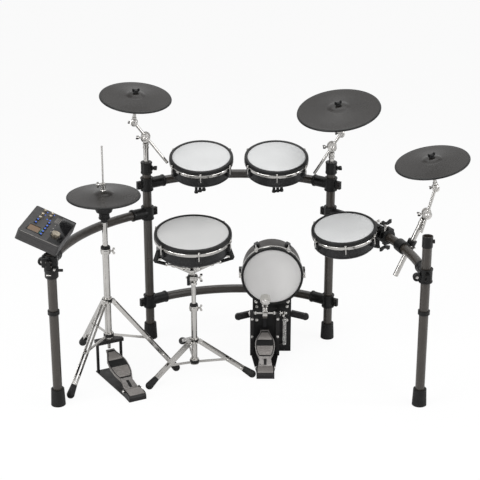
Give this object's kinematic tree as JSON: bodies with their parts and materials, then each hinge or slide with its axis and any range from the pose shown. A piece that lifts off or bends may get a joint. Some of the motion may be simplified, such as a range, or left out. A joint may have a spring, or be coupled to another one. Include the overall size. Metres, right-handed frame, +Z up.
{
  "type": "electronic drum kit",
  "caption": "Electronic drum kit: bowed tube rack with tom pads, boom cymbal pads and a sound module, a snare pad and a hi-hat on tripod stands, and a kick pad tower with its pedal.",
  "frame": {"origin": "on the floor under the middle of the kit's bounding box", "axes": "+X to the drummer's right, +Y away from the drummer, +Z up"},
  "size_m": [1.7984, 0.8439, 1.1723],
  "materials": {
    "beater_felt": "grey white felt",
    "black_rubber": "matt black rubber",
    "chrome": "polished chrome plate",
    "clamp_plastic": "matt black moulded plastic",
    "cymbal_rubber": "dark charcoal rubber with fine rings",
    "display_glass": "amber display",
    "key_plastic": "blue lit keys",
    "kick_steel": "black painted sheet",
    "knob_metal": "pale metal knobs",
    "mesh_head": "pale woven mesh",
    "module_plastic": "dark grey case",
    "pedal_metal": "grey cast metal",
    "rack_tube": "satin black powder coat",
    "rim_rubber": "black rubber over the hoop",
    "shell_plastic": "black shell",
    "spring_steel": "bright spring wire",
    "strap_web": "black woven strap"
  },
  "bodies": {
    "rack_and_stands": {"rear_posts": "rack_tube", "rear_upper_bar": "rack_tube", "rear_lower_bar": "rack_tube", "rear_clamps": "clamp_plastic", "rubber_feet": "black_rubber", "snare_stand_tube": "chrome", "snare_stand_legs": "chrome", "hihat_stand_tube": "chrome", "hihat_stand_legs": "chrome", "hihat_pedal_frame": "pedal_metal", "kick_tower": "kick_steel", "kick_hoop": "rim_rubber", "kick_head": "mesh_head", "kick_pedal_frame": "pedal_metal", "kick_spring": "spring_steel"},
    "left_wing": {"left_wing_arm": "rack_tube", "front_left_post": "rack_tube", "front_left_foot": "black_rubber", "left_wing_clamps": "clamp_plastic"},
    "right_wing": {"right_wing_arm": "rack_tube", "front_right_post": "rack_tube", "front_right_foot": "black_rubber", "right_wing_clamps": "clamp_plastic"},
    "left_boom": {"left_boom_post": "chrome"},
    "left_boom_tilt": {"left_boom_arm": "chrome"},
    "left_crash": {"left_crash_cymbal": "cymbal_rubber"},
    "middle_boom": {"middle_boom_post": "chrome"},
    "middle_boom_tilt": {"middle_boom_arm": "chrome"},
    "ride": {"ride_cymbal": "cymbal_rubber"},
    "right_boom": {"right_boom_post": "chrome"},
    "right_boom_tilt": {"right_boom_arm": "chrome"},
    "right_crash": {"right_crash_cymbal": "cymbal_rubber"},
    "left_tom": {"left_tom_shell": "shell_plastic", "left_tom_hoop": "rim_rubber", "left_tom_head": "mesh_head"},
    "right_tom": {"right_tom_shell": "shell_plastic", "right_tom_hoop": "rim_rubber", "right_tom_head": "mesh_head"},
    "floor_tom": {"floor_tom_shell": "shell_plastic", "floor_tom_hoop": "rim_rubber", "floor_tom_head": "mesh_head"},
    "snare_height": {"snare_upper_tube": "chrome"},
    "snare_drum": {"snare_basket": "chrome", "snare_shell": "shell_plastic", "snare_hoop": "rim_rubber", "snare_head": "mesh_head"},
    "hihat_height": {"hihat_upper_tube": "chrome", "hihat_controller": "clamp_plastic"},
    "hihat_rod": {"hihat_pull_rod": "chrome", "hihat_cymbal": "cymbal_rubber"},
    "hihat_board": {"hihat_footboard": "pedal_metal"},
    "kick_board": {"kick_footboard": "pedal_metal"},
    "kick_strap": {"kick_drive_strap": "strap_web"},
    "kick_beater_axle": {"kick_axle": "chrome", "kick_beater": "beater_felt"},
    "module": {"module_case": "module_plastic", "module_display": "display_glass", "module_knobs": "knob_metal"},
    "module_dial_turn": {"module_dial": "knob_metal"},
    "module_key_press": {"module_keys": "key_plastic"}
  },
  "joints": [
    {"name": "left_wing_swing", "type": "hinge", "parent": "rack_and_stands", "child": "left_wing", "pos_m": [-0.42596, 0.27297, 0.6], "axis": [0, 0, -1], "range_deg": [0, 30]},
    {"name": "right_wing_swing", "type": "hinge", "parent": "rack_and_stands", "child": "right_wing", "pos_m": [0.36804, 0.27297, 0.6], "axis": [0, 0, 1], "range_deg": [0, 30]},
    {"name": "left_boom_height", "type": "slide", "parent": "rack_and_stands", "child": "left_boom", "axis": [0, 0, 1], "range_m": [-0.05, 0.05]},
    {"name": "middle_boom_height", "type": "slide", "parent": "rack_and_stands", "child": "middle_boom", "axis": [0, 0, 1], "range_m": [-0.01, 0.05]},
    {"name": "right_boom_height", "type": "slide", "parent": "right_wing", "child": "right_boom", "axis": [0.3827, 0, 0.9239], "range_m": [-0.04, 0.03]},
    {"name": "left_boom_tilt_turn", "type": "hinge", "parent": "left_boom", "child": "left_boom_tilt", "pos_m": [-0.42596, 0.27297, 0.947], "axis": [0, 1, 0], "range_deg": [0, 25]},
    {"name": "left_crash_rock", "type": "hinge", "parent": "left_boom_tilt", "child": "left_crash", "pos_m": [-0.46037, 0.2323, 1.14474], "axis": [0.996, 0, -0.0896], "range_deg": [-8, 8], "stiffness_Nm_per_rad": 3},
    {"name": "middle_boom_tilt_turn", "type": "hinge", "parent": "middle_boom", "child": "middle_boom_tilt", "pos_m": [0.36804, 0.27297, 0.905], "axis": [0, 1, 0], "range_deg": [-10, 0]},
    {"name": "ride_rock", "type": "hinge", "parent": "middle_boom_tilt", "child": "ride", "pos_m": [0.38858, 0.22349, 1.09361], "axis": [0.9917, 0, 0.1289], "range_deg": [-8, 8], "stiffness_Nm_per_rad": 3},
    {"name": "right_boom_tilt_turn", "type": "hinge", "parent": "right_boom", "child": "right_boom_tilt", "pos_m": [0.74004, -0.06503, 0.728], "axis": [0, 1, 0], "range_deg": [-20, 20]},
    {"name": "right_crash_rock", "type": "hinge", "parent": "right_boom_tilt", "child": "right_crash", "pos_m": [0.74604, -0.10083, 0.97281], "axis": [0.9842, 0, 0.1772], "range_deg": [-8, 8], "stiffness_Nm_per_rad": 3},
    {"name": "left_tom_tilt", "type": "hinge", "parent": "rack_and_stands", "child": "left_tom", "pos_m": [-0.18896, 0.33683, 0.79542], "axis": [1, 0, 0], "range_deg": [-12, 12]},
    {"name": "right_tom_tilt", "type": "hinge", "parent": "rack_and_stands", "child": "right_tom", "pos_m": [0.13104, 0.33683, 0.79542], "axis": [1, 0, 0], "range_deg": [-12, 12]},
    {"name": "floor_tom_tilt", "type": "hinge", "parent": "right_wing", "child": "floor_tom", "pos_m": [0.49323, 0.043, 0.55948], "axis": [0.4809, -0.8724, -0.0876], "range_deg": [-8, 12]},
    {"name": "snare_height_slide", "type": "slide", "parent": "rack_and_stands", "child": "snare_height", "axis": [0, 0, 1], "range_m": [-0.04, 0.04]},
    {"name": "snare_tilt", "type": "hinge", "parent": "snare_height", "child": "snare_drum", "pos_m": [-0.21896, -0.04303, 0.428], "axis": [1, 0, 0], "range_deg": [-12, 12]},
    {"name": "hihat_height_slide", "type": "slide", "parent": "rack_and_stands", "child": "hihat_height", "axis": [0, 0, 1], "range_m": [-0.06, 0]},
    {"name": "hihat_pedal", "type": "hinge", "parent": "rack_and_stands", "child": "hihat_board", "pos_m": [-0.47176, -0.27362, 0.022], "axis": [-0.8938, -0.4485, 0], "range_deg": [0, 6], "stiffness_Nm_per_rad": 12, "springref_deg": -22.92},
    {"name": "hihat_rod_pull", "type": "slide", "parent": "rack_and_stands", "child": "hihat_rod", "axis": [0, 0, -1], "range_m": [0, 0.02574]},
    {"name": "kick_pedal", "type": "hinge", "parent": "rack_and_stands", "child": "kick_board", "pos_m": [0.08404, -0.07303, 0.022], "axis": [-1, 0, 0], "range_deg": [0, 5], "stiffness_Nm_per_rad": 20, "springref_deg": -6.88},
    {"name": "kick_strap_pull", "type": "slide", "parent": "rack_and_stands", "child": "kick_strap", "axis": [0, 0, -1], "range_m": [0, 0.01627]},
    {"name": "kick_axle_turn", "type": "hinge", "parent": "rack_and_stands", "child": "kick_beater_axle", "pos_m": [0.08404, 0.08697, 0.204], "axis": [-1, 0, 0], "range_deg": [0, 35.43], "deforming": ["kick_spring"]},
    {"name": "module_tilt", "type": "hinge", "parent": "left_wing", "child": "module", "pos_m": [-0.80578, -0.27656, 0.70038], "axis": [-0.157, -0.9876, 0], "range_deg": [0, 20]},
    {"name": "module_dial_spin", "type": "hinge", "parent": "module", "child": "module_dial_turn", "pos_m": [-0.74861, -0.34033, 0.73571], "axis": [0.3763, -0.0598, 0.9245], "continuous": true},
    {"name": "module_keys_travel", "type": "slide", "parent": "module", "child": "module_key_press", "axis": [-0.3763, 0.0598, -0.9245], "range_m": [0, 0.0015], "stiffness_N_per_m": 500, "springref_m": -0.002}
  ],
  "couplings": [
    {"joint": "hihat_rod_pull", "follows": "hihat_pedal", "m_per_rad": 0.24568},
    {"joint": "kick_strap_pull", "follows": "kick_pedal", "m_per_rad": 0.1863},
    {"joint": "kick_axle_turn", "follows": "kick_pedal", "ratio": 7.0836}
  ]
}
